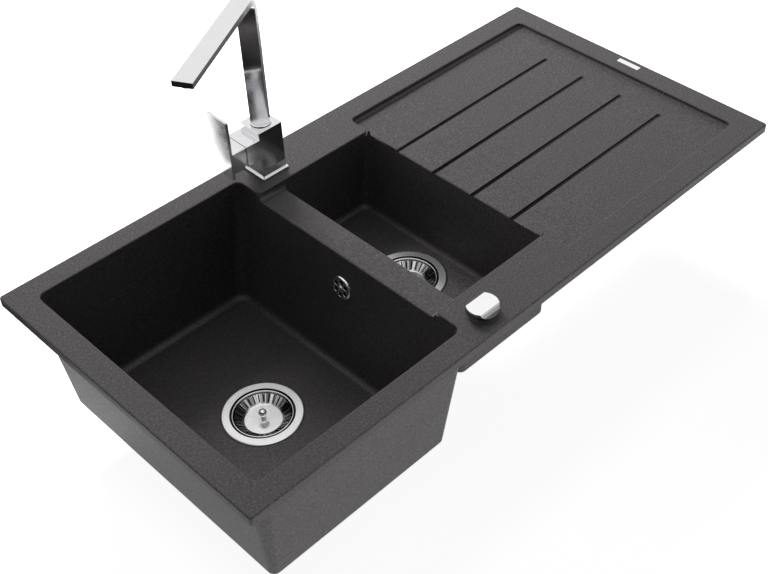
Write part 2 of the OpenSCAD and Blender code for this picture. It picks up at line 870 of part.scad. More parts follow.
module main_flange_seal() {
    at_main_waste()
        waste_flange_seal();
}

module main_cup_seal() {
    at_main_waste()
        waste_cup_seal();
}

module main_clamp_screw() {
    at_main_waste()
        clamp_screw(clamp_screw_r, lifter_r + run_fit);
}

module main_basket() {
    at_main_waste()
        waste_basket();
}

module main_basket_seal() {
    at_main_waste()
        waste_basket_seal();
}

module main_basket_pull() {
    at_main_waste()
        waste_basket_pull();
}

// Height of the overflow's side spigot on the main cup, and how far out its collar stands
side_spigot_z = -wall_t - cup_seal_t - 2 * cup_flange_t - spigot_d / 2 - spigot_lip;
side_collar_x = waste_hole_d / 2 + cup_wall_t + spigot_lip;

// Hose spigot without its bore, with a collar that stops the hose
module hose_spigot(collar_z) {
    cylinder(d = spigot_d + 2 * spigot_lip, h = collar_z);
    cylinder(d = spigot_d, h = collar_z + spigot_l);
}

// Main cup, which also takes the overflow hose and the control cable
module main_cup() {
    gland_reach = outlet_d * 0.9;
    color([0.2, 0.2, 0.21])
        at_main_waste() {
            difference() {
                union() {
                    cup_outside();
                    translate([0, 0, side_spigot_z])
                        rotate([0, 90, 0])
                            hose_spigot(side_collar_x);
                    translate([0, 0, gland_z])
                        rotate([90, 0, 0])
                            cylinder(d = spindle_d, h = gland_reach);
                }
                cup_hollow();
                translate([0, 0, side_spigot_z])
                    rotate([0, 90, 0])
                        cylinder(d = spigot_bore_d, h = side_collar_x + spigot_l + cut);
                translate([0, 0, gland_z])
                    rotate([90, 0, 0])
                        cylinder(d = spindle_d / 2, h = gland_reach + cut);
            }
            cup_spider();
        }
}

// Pin that runs in the hollow clamp screw and pushes the main basket up
module main_lifter_pin() {
    foot_z = -outlet_top - spider_arm_h / 2 - lift_stroke - 2 * spider_arm_h;
    top_z = dish_t - dish_depth - move_gap;
    color([0.75, 0.72, 0.6])
        at_main_waste() {
            translate([0, 0, foot_z])
                cylinder(r = lifter_r, h = top_z - foot_z);
            translate([0, 0, foot_z])
                cylinder(r = 2 * lifter_r, h = lifter_r);
        }
}

module half_flange() {
    at_half_waste()
        waste_flange(clamp_screw_r);
}

module half_flange_seal() {
    at_half_waste()
        waste_flange_seal();
}

module half_cup_seal() {
    at_half_waste()
        waste_cup_seal();
}

module half_cup() {
    color([0.2, 0.2, 0.21])
        at_half_waste() {
            difference() {
                cup_outside();
                cup_hollow();
            }
            cup_spider();
        }
}

module half_clamp_screw() {
    at_half_waste()
        clamp_screw(clamp_screw_r, 0);
}

module half_basket() {
    at_half_waste()
        waste_basket();
}

module half_basket_seal() {
    at_half_waste()
        waste_basket_seal();
}

module half_basket_pull() {
    at_half_waste()
        waste_basket_pull();
}

// Sizes of the overflow, along its own axis
overflow_cover_t = 2.5;
overflow_seal_t = 1.5;
overflow_screw_r = 2.5;
overflow_back = -overflow_wall_t - seat_gap;
housing_t = 2;
housing_depth = spigot_d + 2 * spigot_lip + housing_t;

// Domed cover with petal openings round a centre boss
module overflow_cover() {
    cover_r = overflow_d / 2;
    petal_r = cover_r * 0.2;
    color([0.85, 0.85, 0.86])
        at_overflow()
            difference() {
                rotate_extrude()
                    polygon([
                        [0, seat_gap],
                        [cover_r, seat_gap],
                        [cover_r, overflow_cover_t / 3],
                        [cover_r - overflow_cover_t, overflow_cover_t],
                        [0, overflow_cover_t]
                    ]);
                for (i = [0 : overflow_petals - 1])
                    rotate(i * 360 / overflow_petals)
                        translate([0, 0, -cut])
                            linear_extrude(overflow_cover_t + 2 * cut)
                                union() {
                                    translate([cover_r * 0.58, 0])
                                        circle(petal_r);
                                    polygon([
                                        [cover_r * 0.3, 0],
                                        [cover_r * 0.52, petal_r * 0.95],
                                        [cover_r * 0.52, -petal_r * 0.95]
                                    ]);
                                }
                translate([0, 0, -cut])
                    cylinder(r = overflow_screw_r + run_fit, h = overflow_cover_t + 2 * cut);
            }
}

module overflow_screw() {
    color([0.8, 0.8, 0.8])
        at_overflow() {
            translate([0, 0, overflow_back - housing_depth / 2])
                cylinder(r = overflow_screw_r, h = housing_depth / 2 - overflow_back + overflow_cover_t);
            translate([0, 0, overflow_cover_t])
                difference() {
                    cylinder(r1 = overflow_screw_r * 1.7, r2 = overflow_screw_r * 1.3, h = overflow_screw_r / 2);
                    translate([-overflow_screw_r * 2, -overflow_screw_r / 6, overflow_screw_r / 4])
                        cube([overflow_screw_r * 4, overflow_screw_r / 3, overflow_screw_r]);
                }
        }
}

module overflow_seal() {
    color([0.1, 0.1, 0.1])
        at_overflow()
            translate([0, 0, overflow_back - overflow_seal_t])
                ring(overflow_d / 2, overflow_hole_d / 2, overflow_seal_t);
}

// Shallow pan behind the wall with a hose spigot that points down
module overflow_housing() {
    top_z = overflow_back - overflow_seal_t;
    pan_r = overflow_d / 2;
    collar_z = pan_r + spigot_lip;
    spigot_z = top_z - housing_depth / 2;
    color([0.2, 0.2, 0.21])
        at_overflow()
            difference() {
                union() {
                    translate([0, 0, top_z - housing_depth])
                        cylinder(r = pan_r, h = housing_depth);
                    translate([0, 0, spigot_z])
                        rotate([0, 90, 0])
                            mirror([0, 0, 1])
                                hose_spigot(collar_z);
                }
                translate([0, 0, top_z - housing_depth + housing_t])
                    cylinder(r = pan_r - 2 * housing_t, h = housing_depth);
                translate([0, 0, spigot_z])
                    rotate([0, 90, 0])
                        mirror([0, 0, 1])
                            cylinder(d = spigot_bore_d, h = collar_z + spigot_l + cut);
            }
    color([0.2, 0.2, 0.21])
        at_overflow()
            translate([0, 0, top_z - housing_depth + housing_t / 2])
                ring(overflow_screw_r * 2, overflow_screw_r + run_fit, housing_depth / 2);
}

// Sizes under the control knob
bush_r = 12;
bush_l = 34;
rosette_t = 1.2;
rosette_r = 20;
knob_nut_h = 6;
knob_nut_r = 19;
knob_washer_t = 2;
crank_r = 13;
crank_h = 5;
case_r = 17;
case_wall = 2;
case_h = 16;

module at_knob() {
    on_sink(knob_x, knob_y, 0)
        children();
}

// Round knob with a finger hollow on each side of its grip
module control_knob() {
    hollow_w = (knob_d - knob_grip_w) / 2;
    hollow_r = (pow(hollow_w, 2) + pow(knob_hollow_depth, 2)) / (2 * knob_hollow_depth);
    base_z = rosette_t + move_gap;
    edge = knob_d / 40;
    color([0.86, 0.86, 0.87])
        at_knob()
            difference() {
                rotate_extrude()
                    polygon([
                        [0, base_z],
                        [knob_d / 2 - edge, base_z],
                        [knob_d / 2 - edge, base_z + edge],
                        [knob_d / 2, base_z + 2 * edge],
                        [knob_d / 2, knob_top - edge / 2],
                        [knob_d / 2 - edge / 2, knob_top],
                        [0, knob_top]
                    ]);
                for (side = [-1, 1])
                    translate([-knob_d / 2 - cut, side * knob_d / 2, knob_top - knob_hollow_depth + hollow_r])
                        rotate([0, 90, 0])
                            cylinder(r = hollow_r, h = knob_d + 2 * cut);
                translate([0, 0, base_z - cut])
                    cylinder(r = spindle_d / 2 + run_fit, h = cut + (knob_top - base_z) * 0.6);
            }
}

module knob_spindle() {
    top_z = rosette_t + move_gap + (knob_top - rosette_t - move_gap) * 0.55;
    crank_z = -bush_l - move_gap - crank_h;
    color([0.75, 0.72, 0.6])
        at_knob()
            difference() {
                union() {
                    translate([0, 0, crank_z])
                        cylinder(d = spindle_d, h = top_z - crank_z);
                    translate([0, 0, crank_z])
                        cylinder(r = crank_r, h = crank_h);
                }
                translate([crank_r * 0.7, 0, crank_z - cut])
                    cylinder(r = spindle_d / 5, h = crank_h + 2 * cut);
            }
}

// Threaded bush with a rosette on the rim
module knob_bush() {
    color([0.84, 0.84, 0.85])
        at_knob()
            difference() {
                union() {
                    cylinder(r = rosette_r, h = rosette_t);
                    translate([0, 0, -bush_l])
                        cylinder(r = bush_r, h = bush_l + rosette_t / 2);
                }
                translate([0, 0, -bush_l - cut])
                    cylinder(r = spindle_d / 2 + run_fit, h = bush_l + rosette_t + 2 * cut);
            }
}

module knob_washer() {
    color([0.12, 0.12, 0.12])
        at_knob()
            translate([0, 0, -deck_low - knob_washer_t])
                ring(knob_nut_r, bush_r + run_fit, knob_washer_t);
}

module knob_nut() {
    color([0.84, 0.84, 0.85])
        at_knob()
            translate([0, 0, -deck_low - knob_washer_t - knob_nut_h])
                difference() {
                    cylinder(r = knob_nut_r, h = knob_nut_h, $fn = 6);
                    translate([0, 0, -cut])
                        cylinder(r = bush_r + run_fit, h = knob_nut_h + 2 * cut);
                }
}

// Case that guides the cable off the crank
module knob_cable_case() {
    low_z = -bush_l - 2 * move_gap - crank_h - case_wall - move_gap;
    color([0.2, 0.2, 0.21])
        at_knob()
            difference() {
                union() {
                    translate([0, 0, low_z])
                        cylinder(r = case_r, h = case_h);
                    translate([case_r * 0.5, 0, low_z + case_h * 0.3])
                        rotate([0, 90, 0])
                            cylinder(d = spindle_d * 0.8, h = case_r);
                }
                translate([0, 0, low_z + case_wall])
                    cylinder(r = case_r - case_wall, h = crank_h + 3 * move_gap);
                translate([0, 0, low_z + case_wall])
                    cylinder(r = bush_r + run_fit, h = case_h);
                translate([0, 0, low_z + case_h * 0.3])
                    rotate([0, 90, 0])
                        cylinder(d = spindle_d * 0.4, h = 2 * case_r);
            }
}

// Sizes inside the tap
base_gasket_t = 0.6;
swivel_r = 11;
swivel_l = 20;
collar_r = 15;
collar_t = 1.5;
o_ring_r = 1.4;
stop_screw_r = 2.5;
spout_wall = 1.6;
shank_in = 10;
shank_out = 52;
shank_gasket_t = 3;
shank_washer_t = 2;
shank_nut_h = 9;
shank_nut_r = 26;
inlet_l = 14;
inlet_offset = 7.5;
hub_z = hub_top - hub_h / 2;
hub_end = -tap_w / 2 - hub_l;
lever_in = hub_end - lever_gap;
lever_out = lever_in - lever_block_l;
turret_r = 9;
turret_l = 10;
turret_proud = 1.5;
pivot_x = hub_end + 3;
pivot_pin_r = 1.5;
stem_r = 3;
stem_l = 16;

module at_tap() {
    on_sink(tap_x, tap_y, 0)
        children();
}

// Places a piece on the hub's axis, which points away from the tap body
module at_hub(x) {
    at_tap()
        translate([x, 0, hub_z])
            rotate([0, -90, 0])
                children();
}

// Square bar with chamfered upright edges
module square_bar(w, h, edge) {
    linear_extrude(h)
        polygon([
            [-w / 2 + edge, -w / 2],
            [w / 2 - edge, -w / 2],
            [w / 2, -w / 2 + edge],
            [w / 2, w / 2 - edge],
            [w / 2 - edge, w / 2],
            [-w / 2 + edge, w / 2],
            [-w / 2, w / 2 - edge],
            [-w / 2, -w / 2 + edge]
        ]);
}

// Square body with its side hub
module tap_body() {
    base_z = base_gasket_t + tap_base_t;
    color([0.86, 0.86, 0.87])
        difference() {
            union() {
                at_tap()
                    translate([0, 0, base_z])
                        square_bar(tap_w, tap_h - base_z, tap_chamfer);
                at_tap()
                    translate([hub_end, -tap_w / 2, hub_top - hub_h])
                        rotate([0, 90, 0])
                            mirror([1, 0, 0])
                                linear_extrude(hub_l + tap_w / 4)
                                    hub_outline();
            }
            at_tap()
                translate([0, 0, tap_h - swivel_l - move_gap])
                    cylinder(r = swivel_r + run_fit, h = swivel_l + cut);
            at_tap()
                translate([0, 0, base_z - cut])
                    cylinder(d = shank_d + 2 * run_fit, h = shank_in + cut);
            at_tap()
                translate([0, 0, tap_h - swivel_l * 0.6])
                    rotate([-90, 0, 0])
                        cylinder(r = stop_screw_r + run_fit, h = tap_w);
            at_hub(hub_end + hub_l)
                cylinder(d = cartridge_d + 2 * run_fit, h = hub_l + cut);
        }
}

// Outline of the hub and of the lever block: height along X, width along Y
module hub_outline() {
    polygon([
        [tap_chamfer, 0],
        [hub_h - tap_chamfer, 0],
        [hub_h, tap_chamfer],
        [hub_h, tap_w - tap_chamfer],
        [hub_h - tap_chamfer, tap_w],
        [tap_chamfer, tap_w],
        [0, tap_w - tap_chamfer],
        [0, tap_chamfer]
    ]);
}

module tap_base_plate() {
    color([0.86, 0.86, 0.87])
        at_tap()
            translate([0, 0, base_gasket_t])
                difference() {
                    square_bar(tap_base_w, tap_base_t, tap_chamfer);
                    translate([0, 0, -cut])
                        cylinder(d = shank_d + 2 * run_fit, h = tap_base_t + 2 * cut);
                }
}

module tap_base_gasket() {
    color([0.1, 0.1, 0.1])
        at_tap()
            difference() {
                square_bar(tap_base_w - 2 * tap_chamfer, base_gasket_t, tap_chamfer);
                translate([0, 0, -cut])
                    cylinder(d = tap_hole_d, h = base_gasket_t + 2 * cut);
            }
}

// Threaded shank with the hot and cold inlets in its lower end
module tap_shank() {
    top_z = base_gasket_t + tap_base_t + shank_in - move_gap;
    color([0.78, 0.66, 0.35])
        at_tap()
            difference() {
                translate([0, 0, -shank_out])
                    cylinder(d = shank_d, h = shank_out + top_z);
                for (side = [-1, 1])
                    translate([0, side * inlet_offset, -shank_out - cut])
                        cylinder(d = inlet_d, h = inlet_l + cut);
            }
}

module tap_shank_gasket() {
    color([0.1, 0.1, 0.1])
        at_tap()
            translate([0, 0, -deck_low - shank_gasket_t])
                ring(shank_nut_r, shank_d / 2 + run_fit, shank_gasket_t);
}

module tap_shank_washer() {
    color([0.7, 0.7, 0.7])
        at_tap()
            translate([0, 0, -deck_low - shank_gasket_t - shank_washer_t])
                ring(shank_nut_r, shank_d / 2 + run_fit, shank_washer_t);
}

module tap_shank_nut() {
    color([0.78, 0.66, 0.35])
        at_tap()
            translate([0, 0, -deck_low - shank_gasket_t - shank_washer_t - shank_nut_h])
                difference() {
                    cylinder(r = shank_nut_r, h = shank_nut_h, $fn = 6);
                    translate([0, 0, -cut])
                        cylinder(d = shank_d + 2 * run_fit, h = shank_nut_h + 2 * cut);
                }
}

// Turns a piece of the spout about the swivel axis, so that X runs out along the arm
module at_spout() {
    at_tap()
        rotate([0, 0, 180 + spout_turn])
            children();
}

// Side view of the flat spout: an upright, a bend and a level arm, in X and Z
module spout_side() {
    foot_z = tap_h + collar_t + move_gap;
    bend_x = spout_bend_r - spout_t / 2;
    bend_z = spout_top - spout_bend_r;
    translate([-spout_t / 2, foot_z])
        square([spout_t, bend_z - foot_z]);
    translate([bend_x, spout_top - spout_t])
        square([spout_reach - bend_x, spout_t]);
    translate([bend_x, bend_z])
        intersection() {
            difference() {
                circle(spout_bend_r);
                circle(spout_bend_r - spout_t);
            }
            translate([-spout_bend_r, 0])
                square([spout_bend_r, spout_bend_r]);
        }
}

// Groove in the shank that lets the stop screw pass through half a turn
module swivel_groove() {
    groove_r = swivel_r - 1.5 * o_ring_r;
    spare = asin(stop_screw_r / groove_r);
    translate([0, 0, tap_h - swivel_l * 0.6 - stop_screw_r])
        rotate([0, 0, 90 - spare])
            rotate_extrude(angle = 180 + 2 * spare)
                translate([groove_r, 0])
                    square([swivel_r - groove_r + cut, 2 * stop_screw_r]);
}

// Water way: a bore through the shank, then a flat channel to the aerator
module spout_channel() {
    low_z = tap_h - swivel_l;
    way_z = tap_h + collar_t + move_gap + spout_wall;
    bend_x = spout_bend_r - spout_t / 2;
    bend_z = spout_top - spout_bend_r;
    outlet_x = spout_reach - aerator_inset + aerator_d * 0.3;
    translate([0, 0, low_z - cut])
        cylinder(r = spout_t / 2 - spout_wall, h = way_z - low_z + 2 * cut);
    translate([0, spout_w / 2 - spout_wall, 0])
        rotate([90, 0, 0])
            linear_extrude(spout_w - 2 * spout_wall) {
                translate([spout_wall - spout_t / 2, way_z])
                    square([spout_t - 2 * spout_wall, bend_z - way_z]);
                translate([bend_x, spout_top - spout_t + spout_wall])
                    square([outlet_x - bend_x, spout_t - 2 * spout_wall]);
                translate([bend_x, bend_z])
                    intersection() {
                        difference() {
                            circle(spout_bend_r - spout_wall);
                            circle(spout_bend_r - spout_t + spout_wall);
                        }
                        translate([-spout_bend_r, 0])
                            square([spout_bend_r, spout_bend_r]);
                    }
            }
}

// Flat spout on a round shank that turns in the tap body
module spout() {
    shank_z = tap_h - swivel_l;
    color([0.88, 0.88, 0.89])
        at_spout()
            difference() {
                union() {
                    translate([0, spout_w / 2, 0])
                        rotate([90, 0, 0])
                            linear_extrude(spout_w)
                                spout_side();
                    translate([0, 0, shank_z])
                        cylinder(r = swivel_r, h = swivel_l + collar_t + move_gap);
                }
                for (z = [shank_z + 2 * o_ring_r, shank_z + swivel_l - 3 * o_ring_r])
                    translate([0, 0, z - o_ring_r])
                        ring(swivel_r + cut, swivel_r - 1.5 * o_ring_r, 2 * o_ring_r);
                swivel_groove();
                spout_channel();
                translate([spout_reach - aerator_inset, 0, spout_top - spout_t - cut])
                    cylinder(d = aerator_d * 0.8, h = cut + spout_t * 0.6);
            }
}

module spout_collar() {
    color([0.86, 0.86, 0.87])
        at_tap()
            translate([0, 0, tap_h])
                ring(collar_r, swivel_r + run_fit, collar_t);
}

module spout_o_rings() {
    shank_z = tap_h - swivel_l;
    color([0.1, 0.1, 0.1])
        at_spout()
            for (z = [shank_z + 2 * o_ring_r, shank_z + swivel_l - 3 * o_ring_r])
                translate([0, 0, z - o_ring_r])
                    ring(swivel_r, swivel_r - 1.5 * o_ring_r, 2 * o_ring_r);
}

// Screw in the back of the body whose tip runs in the shank's groove
module spout_stop_screw() {
    tip_y = swivel_r - 1.5 * o_ring_r + move_gap;
    color([0.7, 0.7, 0.7])
        at_tap()
            translate([0, tip_y, tap_h - swivel_l * 0.6])
                rotate([-90, 0, 0])
                    difference() {
                        cylinder(r = stop_screw_r - move_gap / 2, h = tap_w / 2 - tip_y - tap_chamfer);
                        translate([0, 0, tap_w / 2 - tip_y - 3 * tap_chamfer])
                            cylinder(r = stop_screw_r / 2, h = tap_w, $fn = 6);
                    }
}

// Aerator ring under the spout's tip
module aerator() {
    color([0.8, 0.8, 0.81])
        at_spout()
            translate([spout_reach - aerator_inset, 0, spout_top - spout_t])
                difference() {
                    union() {
                        translate([0, 0, -spout_t / 2])
                            cylinder(d = aerator_d, h = spout_t / 2);
                        cylinder(d = aerator_d * 0.8 - 2 * run_fit, h = spout_t / 2);
                    }
                    translate([0, 0, -spout_t])
                        cylinder(d = aerator_d * 0.65, h = 2 * spout_t);
                }
}

module aerator_screen() {
    color([0.75, 0.75, 0.76])
        at_spout()
            translate([spout_reach - aerator_inset, 0, spout_top - spout_t * 1.3])
                difference() {
                    cylinder(d = aerator_d * 0.65 - 2 * run_fit, h = spout_t * 0.6);
                    for (x = [-1, 0, 1], y = [-1, 0, 1])
                        translate([x * aerator_d * 0.16, y * aerator_d * 0.16, -cut])
                            cylinder(d = aerator_d * 0.09, h = spout_t);
                }
}

// Ceramic cartridge in the hub
module cartridge() {
    nut_l = hub_l * 0.25;
    color([0.9, 0.9, 0.88])
        at_hub(hub_end + hub_l - move_gap)
            difference() {
                cylinder(d = cartridge_d, h = hub_l - move_gap - nut_l);
                translate([0, 0, hub_l - move_gap - nut_l - turret_l])
                    cylinder(r = turret_r + run_fit, h = 2 * turret_l);
            }
}

// Nut that holds the cartridge in the hub
module cartridge_nut() {
    nut_l = hub_l * 0.25;
    color([0.84, 0.84, 0.85])
        at_hub(hub_end + nut_l)
            ring(cartridge_d / 2, turret_r + run_fit, nut_l);
}

// Part of the cartridge that turns with the lever, slotted for the lever's stem
module cartridge_turret() {
    back = hub_end + hub_l * 0.25 + turret_l - move_gap;
    length = back - hub_end + turret_proud - lever_gap;
    color([0.92, 0.92, 0.9])
        difference() {
            at_hub(back)
                cylinder(r = turret_r, h = length);
            at_tap()
                translate([back - length - cut, -stem_r - run_fit, hub_z - turret_r * 0.62])
                    cube([length - move_gap * 3, 2 * (stem_r + run_fit), turret_r * 1.24]);
            at_tap()
                translate([pivot_x, -turret_r, hub_z])
                    rotate([-90, 0, 0])
                        cylinder(r = pivot_pin_r, h = 2 * turret_r);
        }
}

module lever_pivot_pin() {
    color([0.7, 0.7, 0.7])
        at_tap()
            translate([pivot_x, -turret_r * 0.9, hub_z])
                rotate([-90, 0, 0])
                    cylinder(r = pivot_pin_r - run_fit / 2, h = turret_r * 1.8);
}

// Lever: a hollow block, cut back below its axis so that it can tilt, and a flat plate
module lever() {
    hollow_l = lever_block_l * 0.35;
    relief_h = hub_h / 2 + cut;
    relief_l = relief_h * tan(lever_tilt + 1);
    color([0.86, 0.86, 0.87])
        difference() {
            at_tap()
                union() {
                    translate([lever_out, -tap_w / 2, hub_top - hub_h])
                        rotate([0, 90, 0])
                            mirror([1, 0, 0])
                                linear_extrude(lever_block_l)
                                    hub_outline();
                    translate([lever_out - lever_t, -tap_w / 2, lever_top - lever_h])
                        rotate([0, 90, 0])
                            mirror([1, 0, 0])
                                linear_extrude(lever_t)
                                    round_rect(lever_h, tap_w, tap_chamfer);
                }
            at_tap()
                translate([lever_in, -tap_w / 2 - cut, hub_z])
                    rotate([-90, 0, 0])
                        linear_extrude(tap_w + 2 * cut)
                            polygon([
                                [cut, 0],
                                [0, 0],
                                [-relief_l, relief_h],
                                [cut, relief_h]
                            ]);
            at_hub(lever_in + cut)
                cylinder(r = turret_r * 1.3, h = hollow_l + cut);
            at_hub(lever_in)
                cylinder(r = stem_r + run_fit, h = lever_block_l * 0.8);
            at_tap()
                translate([lever_in - lever_block_l * 0.6, 0, hub_top - hub_h - cut])
                    cylinder(r = stop_screw_r, h = hub_h / 2);
        }
}

// Stem between the turret and the lever block
module lever_stem() {
    color([0.75, 0.75, 0.75])
        difference() {
            at_hub(pivot_x + 2 * pivot_pin_r)
                cylinder(r = stem_r, h = pivot_x + 2 * pivot_pin_r - lever_in + lever_block_l * 0.75);
            at_tap()
                translate([pivot_x, -turret_r, hub_z])
                    rotate([-90, 0, 0])
                        cylinder(r = pivot_pin_r + run_fit / 2, h = 2 * turret_r);
        }
}

module lever_grub_screw() {
    color([0.6, 0.6, 0.6])
        at_tap()
            translate([lever_in - lever_block_l * 0.6, 0, hub_top - hub_h + tap_chamfer])
                difference() {
                    cylinder(r = stop_screw_r - run_fit, h = hub_h / 2 - stem_r - tap_chamfer - run_fit);
                    translate([0, 0, -cut])
                        cylinder(r = stop_screw_r / 2, h = 3 * cut, $fn = 6);
                }
}

sink_body();
badge_plate();
main_flange();
main_flange_seal();
main_cup_seal();
main_cup();
main_clamp_screw();
main_basket();
main_basket_seal();
main_basket_pull();
main_lifter_pin();
half_flange();
half_flange_seal();
half_cup_seal();
half_cup();
half_clamp_screw();
half_basket();
half_basket_seal();
half_basket_pull();
overflow_cover();
overflow_screw();
overflow_seal();
overflow_housing();
control_knob();
knob_spindle();
knob_bush();
knob_washer();
knob_nut();
knob_cable_case();
tap_body();
tap_base_plate();
tap_base_gasket();
tap_shank();
tap_shank_gasket();
tap_shank_washer();
tap_shank_nut();
spout();
spout_collar();
spout_o_rings();
spout_stop_screw();
aerator();
aerator_screen();
cartridge();
cartridge_nut();
cartridge_turret();
lever_pivot_pin();
lever();
lever_stem();
lever_grub_screw();
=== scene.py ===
"""Granite kitchen sink with drainer: finishes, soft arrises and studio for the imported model."""

import json
import math

import bmesh
import bpy
from mathutils import Matrix, Vector


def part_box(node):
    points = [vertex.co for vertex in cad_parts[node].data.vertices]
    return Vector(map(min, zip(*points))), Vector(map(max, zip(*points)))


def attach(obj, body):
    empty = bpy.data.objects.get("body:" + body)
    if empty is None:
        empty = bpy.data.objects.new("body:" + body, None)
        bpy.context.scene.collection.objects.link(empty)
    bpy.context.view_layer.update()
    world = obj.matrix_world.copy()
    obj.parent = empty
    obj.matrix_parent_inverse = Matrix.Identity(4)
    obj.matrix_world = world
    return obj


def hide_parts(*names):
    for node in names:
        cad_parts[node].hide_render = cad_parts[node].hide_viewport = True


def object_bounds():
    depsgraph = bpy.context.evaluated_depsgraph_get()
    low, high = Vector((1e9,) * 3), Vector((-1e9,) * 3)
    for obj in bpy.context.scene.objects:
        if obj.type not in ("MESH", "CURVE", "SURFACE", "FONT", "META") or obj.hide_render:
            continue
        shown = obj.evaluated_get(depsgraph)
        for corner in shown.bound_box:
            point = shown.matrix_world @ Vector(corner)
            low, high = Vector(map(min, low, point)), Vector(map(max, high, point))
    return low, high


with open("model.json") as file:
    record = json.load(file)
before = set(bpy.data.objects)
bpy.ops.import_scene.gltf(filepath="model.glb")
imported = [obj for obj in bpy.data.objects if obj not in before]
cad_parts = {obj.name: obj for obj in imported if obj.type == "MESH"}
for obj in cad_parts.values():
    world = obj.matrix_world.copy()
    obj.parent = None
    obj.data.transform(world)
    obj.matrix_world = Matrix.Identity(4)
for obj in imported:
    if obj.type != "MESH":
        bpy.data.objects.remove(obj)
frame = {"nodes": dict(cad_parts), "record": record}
CAD_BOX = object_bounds()
NODES = frame["nodes"]
BODY_OF = {n: b for b, names in frame["record"]["behaviour"]["bodies"].items() for n in names}
SLOT_OF = {s["node"]: s["material_slot"] for s in frame["record"]["subparts"]}

MM = 0.001
FLOOR = CAD_BOX[0].z
FLOOR_REACH = 6.0
FLOOR_GLOW = 0.9
WORLD_FILL = 0.05

# Zones round an outlet's axis, from the inner radius to the outer one
FLANGE_SHADOW_RING = (56.0 * MM, 58.0 * MM)
SHADED_DISH_INSIDE = (20.0 * MM, 45.3 * MM)
BASKET_SIDE = (27.4 * MM, 40.2 * MM)
SHADE_UNDER_RIM = (38.6 * MM, 40.3 * MM)

# Angles in degrees: faces that count as one plane, edges that get an arris, edges that stay sharp
FLAT_ANGLE = 0.6
ARRIS_ANGLE = 38.0
SHARP_ANGLE = 35.0
ARRIS_SEGMENTS = 3
MERGE_DISTANCE = 0.002 * MM

# Threads, as the radius of the rings' middle line, their pitch and the radius of their section
CUP_THREAD = (23.7 * MM, 3 * MM, 0.55 * MM)
SHANK_THREAD = (14.85 * MM, 1.5 * MM, 0.4 * MM)
BUSH_THREAD = (11.85 * MM, 1.5 * MM, 0.4 * MM)
CUP_LEAD_IN = 2 * MM
CUP_THREAD_LENGTH = 16 * MM
POST_LEAD_IN = 1.5 * MM
ROOM_UNDER_NUT = 1 * MM
RING_SIDES = 72
SECTION_SIDES = 6

# Corners of the cloth on the floor. The spout's column mirrors its edge from NEAR_COLUMN to FAR_COLUMN,
# and the lever's plate mirrors LEVER_SIDE as the dark band along its right edge.
FRONT_LEFT = (-2.4, -1.3)
NEAR_COLUMN = (-0.80, -0.60)
FAR_COLUMN = (-0.78, 0.12)
LEVER_SIDE = (
    (-0.45, 0.50), (-0.408, 0.530), (-0.400, 0.560), (-0.4245, 0.615), (-0.472, 0.694), (-0.50, 0.735))
BACK_RIGHT = (-0.60, 0.80)
BACK_LEFT = (-2.4, 0.80)
CLOTH_OUTLINE = (FRONT_LEFT, NEAR_COLUMN, FAR_COLUMN, *LEVER_SIDE, BACK_RIGHT, BACK_LEFT)
CLOTH_LIFT = 1 * MM
HANGING_CLOTH = ((-3.4, -0.6), (-0.6, -3.4))
HANGING_CLOTH_TOP = 2.6

# Lamps, as name, place, aim, width and height in metres, and power in watts
SOFT_BOXES = (
    ("back soft box", (0.50, 1.55, 1.20), (0.0, 0.0, 0.0), 0.7, 0.7, 58.0),
    ("high left soft box", (-0.62, 0.35, 1.60), (-0.55, 0.0, 0.0), 0.4, 0.4, 2.2),
    ("low front soft box", (-0.5, -1.5, -0.20), (-0.2, 0.0, -0.10), 0.9, 0.12, 9.5),
)

# The camera that took the photo, from the photo's perspective; lens and sensor in millimetres
CAMERA_PLACE = (-0.91997, -0.93793, 1.07791)
CAMERA_AHEAD = (0.52958, 0.50522, -0.68139)
CAMERA_RIGHT = (0.69041, -0.72342, 0.0002)
CAMERA_LENS = 57.057
CAMERA_SENSOR = 36.0
CAMERA_SHIFT = -0.0807


